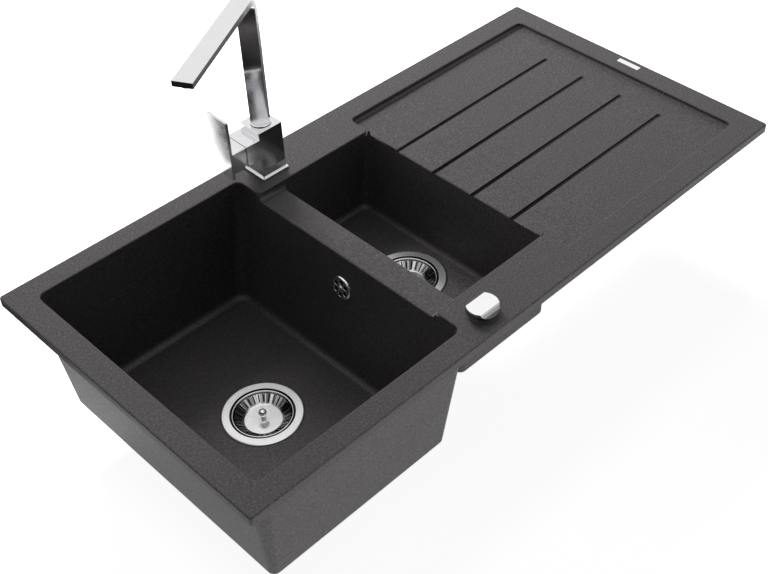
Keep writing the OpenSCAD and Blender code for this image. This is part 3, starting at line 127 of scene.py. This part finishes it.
class Finish:
    """A node material that is built up with short calls."""

    def __init__(self, name):
        self.material = bpy.data.materials.new(name)
        self.material.use_nodes = True
        self.tree = self.material.node_tree
        self.tree.nodes.clear()
        self.out = self.tree.nodes.new("ShaderNodeOutputMaterial")

    def node(self, kind, settings=None, **inputs):
        made = self.tree.nodes.new(kind)
        for key, value in (settings or {}).items():
            setattr(made, key, value)
        for key, value in inputs.items():
            self.feed(made, key.replace("_", " "), value)
        return made

    def feed(self, made, name, value):
        socket = made.inputs[int(name)] if name.isdigit() else made.inputs[name]
        if isinstance(value, bpy.types.NodeSocket):
            self.tree.links.new(value, socket)
        else:
            socket.default_value = value

    def math(self, operation, a, b):
        made = self.node("ShaderNodeMath", {"operation": operation})
        self.feed(made, "0", a)
        self.feed(made, "1", b)
        return made.outputs[0]

    def mix(self, share, a, b):
        """Colour a where the share is 0, and b where it is 1."""
        made = self.node("ShaderNodeMix", {"data_type": "RGBA"})
        for index, value in ((0, share), (6, a), (7, b)):
            self.feed(made, str(index), value)
        return made.outputs[2]

    def ramp(self, value, low, high, start=0.0, end=1.0):
        """From start to end while the value goes from low to high."""
        made = self.node("ShaderNodeMapRange", {"clamp": True}, Value=value)
        for name, number in (("From Min", low), ("From Max", high), ("To Min", start), ("To Max", end)):
            made.inputs[name].default_value = number
        return made.outputs[0]

    def place(self):
        """Object coordinates, so that a pattern moves with its piece."""
        return self.node("ShaderNodeTexCoord").outputs["Object"]

    def height(self):
        """Height of a point in the object's own coordinates."""
        split = self.node("ShaderNodeSeparateXYZ")
        self.feed(split, "0", self.place())
        return split.outputs[2]

    def noise(self, scale, detail=2.0, roughness=0.5, vector=None):
        made = self.node("ShaderNodeTexNoise", Scale=scale, Detail=detail, Roughness=roughness)
        self.tree.links.new(vector or self.place(), made.inputs["Vector"])
        return made.outputs["Fac"]

    def specks(self, scale, share, size):
        """Round specks in a share of the cells of a grid this fine, and a random number for each."""
        made = self.node("ShaderNodeTexVoronoi", Scale=scale)
        self.tree.links.new(self.place(), made.inputs["Vector"])
        picked = self.node("ShaderNodeSeparateColor")
        self.tree.links.new(made.outputs["Color"], picked.inputs[0])
        chosen = self.math("LESS_THAN", picked.outputs[0], share)
        near = self.math("LESS_THAN", made.outputs["Distance"], size)
        return self.math("MULTIPLY", chosen, near), picked.outputs[1]

    def bump(self, height, strength, distance):
        made = self.node("ShaderNodeBump", Height=height, Strength=strength, Distance=distance)
        return made.outputs[0]

    def shade(self, **inputs):
        shader = self.node("ShaderNodeBsdfPrincipled")
        for key, value in inputs.items():
            self.feed(shader, key.replace("_", " "), value)
        self.tree.links.new(shader.outputs[0], self.out.inputs[0])
        return self.material


def centre_of(node):
    low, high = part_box(node)
    return (low + high) / 2


def outlet_polar(f):
    """Distance from the axis of the nearer outlet, and the direction away from it."""
    found = []
    for axis in (centre_of("main_flange"), centre_of("half_flange")):
        away = f.node("ShaderNodeVectorMath", {"operation": "SUBTRACT"})
        f.feed(away, "0", f.place())
        f.feed(away, "1", (axis.x, axis.y, 0.0))
        flat = f.node("ShaderNodeVectorMath", {"operation": "MULTIPLY"})
        f.feed(flat, "0", away.outputs[0])
        f.feed(flat, "1", (1.0, 1.0, 0.0))
        length = f.node("ShaderNodeVectorMath", {"operation": "LENGTH"})
        f.feed(length, "0", flat.outputs[0])
        found.append((length.outputs["Value"], flat.outputs[0]))
    (main, main_way), (half, half_way) = found
    nearer = f.node("ShaderNodeMix", {"data_type": "VECTOR"})
    for index, value in ((0, f.math("LESS_THAN", half, main)), (4, main_way), (5, half_way)):
        f.feed(nearer, str(index), value)
    way = f.node("ShaderNodeVectorMath", {"operation": "NORMALIZE"})
    f.feed(way, "0", nearer.outputs[1])
    return f.math("MINIMUM", main, half), way.outputs[0]


def ring_zone(f, distance, radii, soft=0.25 * MM):
    """1 between two radii, with soft borders."""
    inner, outer = radii
    inside = f.ramp(distance, inner - soft, inner + soft)
    outside = f.ramp(distance, outer - soft, outer + soft, 1.0, 0.0)
    return f.math("MULTIPLY", inside, outside)


def lathe_lines(f, distance, scale):
    """Fine rings, as a lathe leaves them, or fine level streaks where the distance is a height."""
    rings = f.node("ShaderNodeTexNoise", {"noise_dimensions": "1D"}, Scale=scale, Detail=3.0, Roughness=0.7)
    f.tree.links.new(distance, rings.inputs["W"])
    return rings.outputs["Fac"]


def below_top(f, height, node, deep, shallow):
    """0 at a piece's top and 1 further down, with a soft border between two depths."""
    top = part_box(node)[1].z
    return f.ramp(height, top - deep, top - shallow, 1.0, 0.0)


def granite_finish():
    """Dark stone composite: a cloudy ground with fine pale grains and a few golden ones.

    A thin ring of painted shadow darkens the stone round each flange.
    """
    f = Finish("granite composite")
    cloud = f.noise(7.0, 4.0, 0.6)
    base = f.mix(cloud, (0.052, 0.0475, 0.0505, 1), (0.068, 0.062, 0.066, 1))
    grain = f.noise(360.0, 3.0, 0.75)
    base = f.mix(f.ramp(grain, 0.50, 0.68, 0.0, 0.8), base, (0.135, 0.122, 0.128, 1))
    base = f.mix(f.ramp(grain, 0.48, 0.34, 0.0, 0.7), base, (0.018, 0.017, 0.0175, 1))
    pale, tint = f.specks(520.0, 0.10, 0.26)
    pale_colour = f.mix(tint, (0.19, 0.175, 0.15, 1), (0.27, 0.26, 0.25, 1))
    base = f.mix(f.math("MULTIPLY", pale, 0.65), base, pale_colour)
    gold, _ = f.specks(210.0, 0.05, 0.15)
    base = f.mix(f.math("MULTIPLY", gold, 0.8), base, (0.36, 0.28, 0.15, 1))
    distance, _ = outlet_polar(f)
    # painted shadow: a thin near-black ring in the stone round each flange
    base = f.mix(ring_zone(f, distance, FLANGE_SHADOW_RING), base, (0.004, 0.004, 0.004, 1))
    rough = f.ramp(f.noise(300.0, 2.0), 0.3, 0.7, 0.46, 0.58)
    normal = f.bump(f.noise(1100.0, 2.0, 0.6), 0.3, 0.3 * MM)
    return f.shade(Base_Color=base, Roughness=rough, Normal=normal, Specular_IOR_Level=0.5)


def chrome_finish():
    f = Finish("polished chrome")
    smear = f.noise(35.0, 3.0, 0.6)
    base = f.mix(smear, (0.74, 0.74, 0.75, 1), (0.82, 0.82, 0.83, 1))
    rough = f.ramp(f.noise(60.0, 4.0), 0.35, 0.75, 0.09, 0.14)
    return f.shade(Base_Color=base, Roughness=rough, Metallic=1.0)


def flange_steel_finish():
    """Turned steel of the dishes: a bright flange, and painted shade on its inside round the basket's rim."""
    f = Finish("turned flange steel")
    distance, _ = outlet_polar(f)
    rings = lathe_lines(f, distance, 1500.0)
    base = f.mix(rings, (0.80, 0.79, 0.80, 1), (0.98, 0.97, 0.98, 1))
    # painted shade: the dish's inside is near black where the groove round the basket's rim lies in shadow
    base = f.mix(ring_zone(f, distance, SHADED_DISH_INSIDE), base, (0.02, 0.02, 0.02, 1))
    rough = f.ramp(rings, 0.3, 0.7, 0.24, 0.36)
    normal = f.bump(rings, 0.25, 0.2 * MM)
    return f.shade(Base_Color=base, Roughness=rough, Metallic=1.0, Normal=normal)


def basket_steel_finish():
    """Pressed steel of the baskets: bright rim and floor, and a ribbed side with painted shade and bright
    streaks of painted highlight.
    """
    f = Finish("pressed basket steel")
    distance, way = outlet_polar(f)
    rings = lathe_lines(f, distance, 900.0)
    base = f.mix(rings, (0.74, 0.73, 0.74, 1), (0.93, 0.92, 0.93, 1))
    ribs = f.noise(11.0, 4.0, 0.75, vector=way)
    # painted shade and highlights: the ribbed side is dark metal with bright streaks along the ribs
    side = f.mix(f.ramp(ribs, 0.44, 0.62), (0.10, 0.096, 0.10, 1), (0.92, 0.91, 0.92, 1))
    base = f.mix(ring_zone(f, distance, BASKET_SIDE), base, side)
    base = f.mix(ring_zone(f, distance, SHADE_UNDER_RIM), base, (0.03, 0.03, 0.03, 1))
    rough = f.ramp(rings, 0.3, 0.7, 0.14, 0.24)
    normal = f.bump(ribs, 0.35, 0.6 * MM)
    return f.shade(Base_Color=base, Roughness=rough, Metallic=1.0, Normal=normal)


def knob_chrome_finish():
    """Chrome of the knob: a bright top, and painted shade with grey streaks of painted reflection in the
    finger hollows and round the side.
    """
    f = Finish("knob chrome")
    height = f.height()
    streaks = lathe_lines(f, height, 260.0)
    top = f.mix(f.noise(80.0), (0.90, 0.89, 0.90, 1), (0.95, 0.94, 0.95, 1))
    # painted shade and reflection: below the top the chrome is dark with grey streaks
    hollow = f.mix(f.ramp(streaks, 0.42, 0.62), (0.09, 0.088, 0.09, 1), (0.62, 0.61, 0.62, 1))
    base = f.mix(below_top(f, height, "control_knob", 0.9 * MM, 0.25 * MM), top, hollow)
    return f.shade(Base_Color=base, Roughness=f.ramp(streaks, 0.3, 0.7, 0.08, 0.14), Metallic=1.0)


def plain_steel_finish():
    f = Finish("satin steel")
    grain = f.noise(500.0, 3.0, 0.7)
    base = f.mix(grain, (0.50, 0.50, 0.51, 1), (0.66, 0.66, 0.67, 1))
    rough = f.ramp(grain, 0.3, 0.7, 0.28, 0.42)
    return f.shade(Base_Color=base, Roughness=rough, Metallic=1.0)


def brass_finish():
    f = Finish("machined brass")
    grain = f.noise(300.0, 3.0, 0.6)
    base = f.mix(grain, (0.56, 0.40, 0.17, 1), (0.70, 0.53, 0.25, 1))
    return f.shade(Base_Color=base, Roughness=f.ramp(grain, 0.3, 0.7, 0.25, 0.4), Metallic=1.0)


def moulded_plastic_finish():
    f = Finish("moulded black plastic")
    grain = f.noise(350.0, 3.0, 0.6)
    base = f.mix(grain, (0.018, 0.018, 0.02, 1), (0.034, 0.034, 0.036, 1))
    normal = f.bump(f.noise(1400.0), 0.2, 0.3 * MM)
    return f.shade(Base_Color=base, Roughness=f.ramp(grain, 0.3, 0.7, 0.42, 0.55), Normal=normal)


def white_plastic_finish():
    f = Finish("moulded white plastic")
    grain = f.noise(250.0, 3.0, 0.6)
    base = f.mix(grain, (0.66, 0.66, 0.63, 1), (0.76, 0.76, 0.73, 1))
    return f.shade(Base_Color=base, Roughness=f.ramp(grain, 0.3, 0.7, 0.35, 0.5))


def rubber_finish():
    f = Finish("black rubber")
    grain = f.noise(500.0, 3.0, 0.6)
    base = f.mix(grain, (0.010, 0.010, 0.010, 1), (0.022, 0.022, 0.022, 1))
    return f.shade(Base_Color=base, Roughness=f.ramp(grain, 0.3, 0.7, 0.6, 0.75))


# Finish of each material slot of the record
FINISH = {
    "granite": granite_finish(),
    "tap_chrome": chrome_finish(),
    "strainer_steel": basket_steel_finish(),
    "plain_steel": plain_steel_finish(),
    "brass": brass_finish(),
    "moulded_plastic": moulded_plastic_finish(),
    "white_plastic": white_plastic_finish(),
    "rubber": rubber_finish(),
}


def collar_chrome_finish():
    """Chrome of the low ring at the spout's foot: bright on top, and a painted dark reflection round its
    side.
    """
    f = Finish("collar chrome")
    smear = f.noise(90.0, 2.0)
    # painted reflection: the collar's side is dark chrome
    side = f.mix(smear, (0.03, 0.03, 0.03, 1), (0.09, 0.09, 0.09, 1))
    base = f.mix(below_top(f, f.height(), "spout_collar", 0.8 * MM, 0.3 * MM), (0.84, 0.84, 0.85, 1), side)
    return f.shade(Base_Color=base, Roughness=f.ramp(smear, 0.3, 0.7, 0.08, 0.14), Metallic=1.0)


def bright_plate_finish(name, roughness):
    """Bright satin metal of the bare badge plate and of the overflow's cover."""
    f = Finish(name)
    grain = f.noise(700.0, 2.0)
    base = f.mix(grain, (0.90, 0.89, 0.90, 1), (0.97, 0.96, 0.97, 1))
    rough = f.ramp(grain, 0.3, 0.7, roughness, roughness + 0.08)
    return f.shade(Base_Color=base, Roughness=rough, Metallic=1.0)


# Finishes of single pieces, which go before the finish of their material slot
OWN_FINISH = {
    "badge_plate": bright_plate_finish("badge metal", 0.28),
    "overflow_cover": bright_plate_finish("overflow metal", 0.16),
    "spout_collar": collar_chrome_finish(),
    "main_flange": flange_steel_finish(),
    "control_knob": knob_chrome_finish(),
}
OWN_FINISH["half_flange"] = OWN_FINISH["main_flange"]


def finish_of(node):
    return OWN_FINISH.get(node, FINISH[SLOT_OF[node]])


def paint(piece, material):
    piece.data.materials.clear()
    piece.data.materials.append(material)


def add_object(name, mesh):
    piece = bpy.data.objects.new(name, mesh)
    bpy.context.scene.collection.objects.link(piece)
    return piece


def joined_copy(node):
    """A copy of a node's mesh with its triangles joined and its flat faces made whole."""
    mesh = NODES[node].data.copy()
    work = bmesh.new()
    work.from_mesh(mesh)
    bmesh.ops.remove_doubles(work, verts=work.verts, dist=MERGE_DISTANCE)
    bmesh.ops.dissolve_limit(
        work, angle_limit=math.radians(FLAT_ANGLE), verts=work.verts, edges=work.edges)
    work.to_mesh(mesh)
    work.free()
    return mesh


def bake_modifiers(piece):
    """Turns a piece with modifiers into a plain mesh."""
    graph = bpy.context.evaluated_depsgraph_get()
    mesh = bpy.data.meshes.new_from_object(piece.evaluated_get(graph))
    piece.modifiers.clear()
    piece.data = mesh


def round_arrises(piece, width):
    bevel = piece.modifiers.new("arris", "BEVEL")
    bevel.width = width
    bevel.segments = ARRIS_SEGMENTS
    bevel.limit_method = "ANGLE"
    bevel.angle_limit = math.radians(ARRIS_ANGLE)
    bevel.use_clamp_overlap = False
    bevel.miter_outer = "MITER_ARC"
    bevel.harden_normals = False
    bake_modifiers(piece)


def smooth_by_angle(piece):
    """Shades rounds smoothly and keeps flat faces flat beside them."""
    for face in piece.data.polygons:
        face.use_smooth = True
    piece.data.set_sharp_from_angle(angle=math.radians(SHARP_ANGLE))
    weighted = piece.modifiers.new("even", "WEIGHTED_NORMAL")
    weighted.mode = "FACE_AREA"
    weighted.keep_sharp = True
    bake_modifiers(piece)


def finished_copy(node, arris):
    """A copy of a node with soft arrises, which shows in its place."""
    piece = add_object(f"finished_{node}", joined_copy(node))
    if arris:
        round_arrises(piece, arris)
    smooth_by_angle(piece)
    paint(piece, finish_of(node))
    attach(piece, BODY_OF[node])
    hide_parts(node)


# Width of the arris on each piece that a finished copy shows; at 0 only its rounds are made smooth
ARRIS_OF = {
    "sink_body": 0.0,
    "tap_body": 0.5 * MM,
    "tap_base_plate": 0.4 * MM,
    "lever": 0.5 * MM,
    "spout": 0.0,
    "spout_collar": 0.3 * MM,
    "control_knob": 0.4 * MM,
    "badge_plate": 0.15 * MM,
    "overflow_cover": 0.3 * MM,
}

for name, node in NODES.items():
    paint(node, finish_of(name))
for name, arris in ARRIS_OF.items():
    finished_copy(name, arris)


def thread_tree():
    """Geometry nodes that stack rings of a thread, one pitch apart."""
    tree = bpy.data.node_groups.new("thread rings", "GeometryNodeTree")
    face = tree.interface
    inputs = (
        ("Turns", "NodeSocketInt"), ("Pitch", "NodeSocketFloat"), ("Radius", "NodeSocketFloat"),
        ("Height", "NodeSocketFloat"), ("Finish", "NodeSocketMaterial"))
    for name, kind in inputs:
        face.new_socket(name, in_out="INPUT", socket_type=kind)
    face.new_socket("Geometry", in_out="OUTPUT", socket_type="NodeSocketGeometry")
    new = tree.nodes.new
    given = new("NodeGroupInput").outputs
    path = new("GeometryNodeCurvePrimitiveCircle")
    path.inputs["Resolution"].default_value = RING_SIDES
    section = new("GeometryNodeCurvePrimitiveCircle")
    section.inputs["Resolution"].default_value = SECTION_SIDES
    ring = new("GeometryNodeCurveToMesh")
    step = new("ShaderNodeCombineXYZ")
    line = new("GeometryNodeMeshLine")
    copies = new("GeometryNodeInstanceOnPoints")
    solid = new("GeometryNodeRealizeInstances")
    dress = new("GeometryNodeSetMaterial")
    made = new("NodeGroupOutput")
    links = (
        (given["Radius"], path.inputs["Radius"]),
        (given["Height"], section.inputs["Radius"]),
        (path.outputs["Curve"], ring.inputs["Curve"]),
        (section.outputs["Curve"], ring.inputs["Profile Curve"]),
        (given["Pitch"], step.inputs["Z"]),
        (given["Turns"], line.inputs["Count"]),
        (step.outputs[0], line.inputs["Offset"]),
        (line.outputs["Mesh"], copies.inputs["Points"]),
        (ring.outputs["Mesh"], copies.inputs["Instance"]),
        (copies.outputs["Instances"], solid.inputs["Geometry"]),
        (solid.outputs["Geometry"], dress.inputs["Geometry"]),
        (given["Finish"], dress.inputs["Material"]),
        (dress.outputs["Geometry"], made.inputs["Geometry"]))
    for source, target in links:
        tree.links.new(source, target)
    return tree


def thread_on(node, tree, axis, low, high, kind):
    """Rings of one kind of thread round an axis, between two heights on a piece."""
    radius, pitch, height = kind
    piece = add_object(f"thread_{node}", bpy.data.meshes.new("thread"))
    rings = piece.modifiers.new("thread", "NODES")
    rings.node_group = tree
    turns = int((high - low) / pitch) + 1
    values = {"Turns": turns, "Pitch": pitch, "Radius": radius, "Height": height, "Finish": finish_of(node)}
    for item in tree.interface.items_tree:
        if item.name in values:
            rings[item.identifier] = values[item.name]
    bake_modifiers(piece)
    piece.data.transform(Matrix.Translation((axis.x, axis.y, low)))
    smooth_by_angle(piece)
    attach(piece, BODY_OF[node])


THREAD = thread_tree()
for cup, flange in (("main_cup", "main_flange"), ("half_cup", "half_flange")):
    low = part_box(cup)[0].z + CUP_LEAD_IN
    thread_on(cup, THREAD, centre_of(flange), low, low + CUP_THREAD_LENGTH, CUP_THREAD)
for post, nut, kind in (("tap_shank", "tap_shank_nut", SHANK_THREAD), ("knob_bush", "knob_nut", BUSH_THREAD)):
    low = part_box(post)[0].z + POST_LEAD_IN
    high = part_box(nut)[0].z - ROOM_UNDER_NUT
    thread_on(post, THREAD, centre_of(post), low, high, kind)


def reflected_or_seen(tree):
    """1 for rays that see the background: from the camera, mirrored, or through glass."""
    rays = tree.nodes.new("ShaderNodeLightPath")
    value = rays.outputs["Is Camera Ray"]
    for name in ("Is Glossy Ray", "Is Transmission Ray"):
        larger = tree.nodes.new("ShaderNodeMath")
        larger.operation = "MAXIMUM"
        tree.links.new(value, larger.inputs[0])
        tree.links.new(rays.outputs[name], larger.inputs[1])
        value = larger.outputs[0]
    return value


def stage_sheet(name, corners, material):
    """A flat sheet of the studio, which isn't part of the object."""
    mesh = bpy.data.meshes.new(name)
    mesh.from_pydata(corners, [], [tuple(range(len(corners)))])
    sheet = add_object(name, mesh)
    paint(sheet, material)


def studio_floor():
    """White floor that glows only where it is seen or mirrored, so it stays white and takes the shadow."""
    f = Finish("pale floor")
    tone = f.mix(f.noise(1.5), (0.78, 0.78, 0.78, 1), (0.82, 0.82, 0.82, 1))
    matt = f.node("ShaderNodeBsdfDiffuse", Color=tone)
    strength = f.math("MULTIPLY", reflected_or_seen(f.tree), FLOOR_GLOW)
    glow = f.node("ShaderNodeEmission", Color=(1, 1, 1, 1), Strength=strength)
    both = f.node("ShaderNodeAddShader")
    f.tree.links.new(matt.outputs[0], both.inputs[0])
    f.tree.links.new(glow.outputs[0], both.inputs[1])
    f.tree.links.new(both.outputs[0], f.out.inputs[0])
    corners = ((-1, -1), (1, -1), (1, 1), (-1, 1))
    stage_sheet("floor", [(x * FLOOR_REACH, y * FLOOR_REACH, FLOOR) for x, y in corners], f.material)


def black_cloth():
    """Black cloths outside the picture, which the bright metal mirrors."""
    f = Finish("black cloth")
    weave = f.mix(f.noise(400.0), (0.008, 0.008, 0.008, 1), (0.016, 0.016, 0.016, 1))
    f.shade(Base_Color=weave, Roughness=0.95, Specular_IOR_Level=0.1)
    stage_sheet("cloth_on_the_floor", [(x, y, FLOOR + CLOTH_LIFT) for x, y in CLOTH_OUTLINE], f.material)
    foot = [(x, y, FLOOR) for x, y in HANGING_CLOTH]
    head = [(x, y, HANGING_CLOTH_TOP) for x, y in reversed(HANGING_CLOTH)]
    stage_sheet("cloth_behind_the_camera", foot + head, f.material)


def studio_world():
    """White where it is seen or mirrored, and a faint fill where it lights."""
    world = bpy.data.worlds.new("studio")
    bpy.context.scene.world = world
    world.use_nodes = True
    tree = world.node_tree
    tree.nodes.clear()
    out = tree.nodes.new("ShaderNodeOutputWorld")
    dim = tree.nodes.new("ShaderNodeBackground")
    dim.inputs[0].default_value = (1, 1, 1, 1)
    dim.inputs[1].default_value = WORLD_FILL
    white = tree.nodes.new("ShaderNodeBackground")
    white.inputs[0].default_value = (1, 1, 1, 1)
    white.inputs[1].default_value = 1.0
    mix = tree.nodes.new("ShaderNodeMixShader")
    tree.links.new(reflected_or_seen(tree), mix.inputs[0])
    tree.links.new(dim.outputs[0], mix.inputs[1])
    tree.links.new(white.outputs[0], mix.inputs[2])
    tree.links.new(mix.outputs[0], out.inputs[0])


def soft_box(name, place, aim, width, height, power):
    """An area lamp, in metres and watts, that metal doesn't mirror."""
    data = bpy.data.lights.new(name, "AREA")
    data.shape = "RECTANGLE"
    data.size = width
    data.size_y = height
    data.energy = power
    lamp = bpy.data.objects.new(name, data)
    bpy.context.scene.collection.objects.link(lamp)
    lamp.location = place
    lamp.rotation_euler = (Vector(aim) - Vector(place)).to_track_quat("-Z", "Y").to_euler()
    lamp.visible_glossy = False


def photo_camera():
    """A camera that sees the object as the photo does."""
    ahead = Vector(CAMERA_AHEAD).normalized()
    right = Vector(CAMERA_RIGHT)
    right = (right - ahead * right.dot(ahead)).normalized()
    up = right.cross(ahead)
    data = bpy.data.cameras.new("camera")
    data.lens = CAMERA_LENS
    data.sensor_width = CAMERA_SENSOR
    data.shift_x = CAMERA_SHIFT
    camera = bpy.data.objects.new("camera", data)
    bpy.context.scene.collection.objects.link(camera)
    turn = Matrix((right, up, -ahead)).transposed()
    camera.matrix_world = Matrix.Translation(CAMERA_PLACE) @ turn.to_4x4()
    bpy.context.scene.camera = camera


studio_floor()
black_cloth()
studio_world()
for name, place, aim, width, height, power in SOFT_BOXES:
    soft_box(name, place, aim, width, height, power)
photo_camera()
bpy.context.scene.view_settings.view_transform = "Standard"
